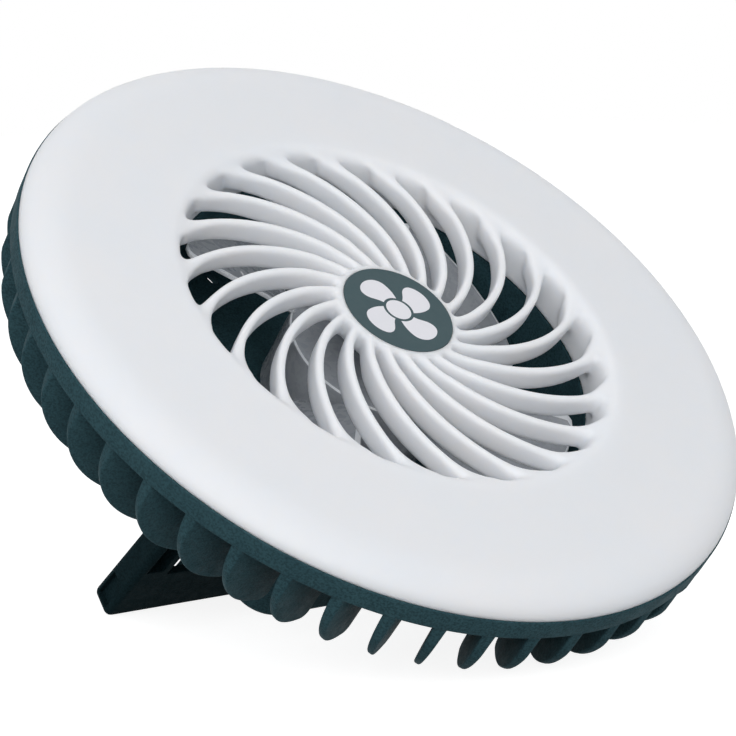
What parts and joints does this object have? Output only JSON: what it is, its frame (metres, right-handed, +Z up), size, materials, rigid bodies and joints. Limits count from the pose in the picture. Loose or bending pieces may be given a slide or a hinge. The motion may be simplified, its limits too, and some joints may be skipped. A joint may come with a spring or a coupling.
{
  "type": "portable camping fan",
  "caption": "Round tabletop fan with an opal lamp ring, swirled guard ribs, a rim of cooling fins, a square battery box behind and a folding U-shaped stand.",
  "frame": {"origin": "middle of the bounding box at the floor the fan stands on", "axes": "+X along the stand's hinge axis, -Y towards the side the fan faces, +Z up; the fan leans back on its lowest fins and the open stand"},
  "size_m": [0.2108, 0.1754, 0.1505],
  "materials": {
    "opal_white": "satin",
    "teal_housing": "fine matte texture",
    "teal_badge": "satin",
    "symbol_white": "satin",
    "clear_grey": "translucent",
    "white_tray": "matte",
    "lamp_board": "solder mask",
    "lamp_chip": "glossy",
    "thermal_grey": "soft",
    "rubber_black": "matte",
    "zinc_steel": "zinc plated",
    "motor_steel": "drawn",
    "black_steel": "black oxide",
    "magnet_grey": "sintered",
    "core_steel": "laminated",
    "bush_bronze": "sintered",
    "cell_wrap": "shrink film",
    "nickel": "nickel strip",
    "board_green": "solder mask",
    "part_black": "moulded",
    "button_teal": "satin",
    "lens_clear": "clear",
    "nylon_natural": "satin"
  },
  "bodies": {
    "housing": {"front_cover": "opal_white", "hub_badge": "teal_badge", "badge_symbol": "symbol_white", "light_reflector": "white_tray", "led_board": "lamp_board", "led_chips": "lamp_chip", "thermal_pad": "thermal_grey", "cover_seal": "rubber_black", "finned_rim": "teal_housing", "rear_housing": "teal_housing", "housing_screws": "zinc_steel", "rear_cover": "teal_housing", "rear_screws": "black_steel", "rear_feet": "rubber_black", "motor_bracket": "zinc_steel", "bracket_screws": "zinc_steel", "motor_screws": "zinc_steel", "motor_can": "motor_steel", "motor_end_cap": "part_black", "motor_magnets": "magnet_grey", "front_bearing": "bush_bronze", "rear_bearing": "bush_bronze", "battery_cells": "cell_wrap", "battery_tray": "part_black", "battery_contacts": "nickel", "control_board": "board_green", "board_screws": "zinc_steel", "board_parts": "part_black", "charge_socket": "nickel", "fan_switch": "part_black", "light_switch": "part_black", "indicator_lens": "lens_clear", "hinge_pin_right": "zinc_steel", "hinge_pin_left": "zinc_steel", "friction_washer_right": "nylon_natural", "friction_washer_left": "nylon_natural"},
    "rotor": {"fan_rotor": "clear_grey", "rotor_clip": "zinc_steel", "motor_shaft": "motor_steel", "motor_armature": "core_steel"},
    "stand": {"stand": "teal_housing"},
    "fan_button": {"fan_button": "button_teal"},
    "light_button": {"light_button": "button_teal"}
  },
  "joints": [
    {"name": "rotor_spin", "type": "hinge", "parent": "housing", "child": "rotor", "pos_m": [0, -0.00528, 0.0827], "axis": [0, -0.6307, 0.776], "continuous": true},
    {"name": "stand_fold", "type": "hinge", "parent": "housing", "child": "stand", "pos_m": [0, 0.00887, 0.04072], "axis": [1, 0, 0], "range_deg": [-101, 0]},
    {"name": "fan_button_press", "type": "slide", "parent": "housing", "child": "fan_button", "axis": [0, -0.776, -0.6307], "range_m": [0, 0.0008], "stiffness_N_per_m": 1500},
    {"name": "light_button_press", "type": "slide", "parent": "housing", "child": "light_button", "axis": [0, -0.776, -0.6307], "range_m": [0, 0.0008], "stiffness_N_per_m": 1500}
  ]
}
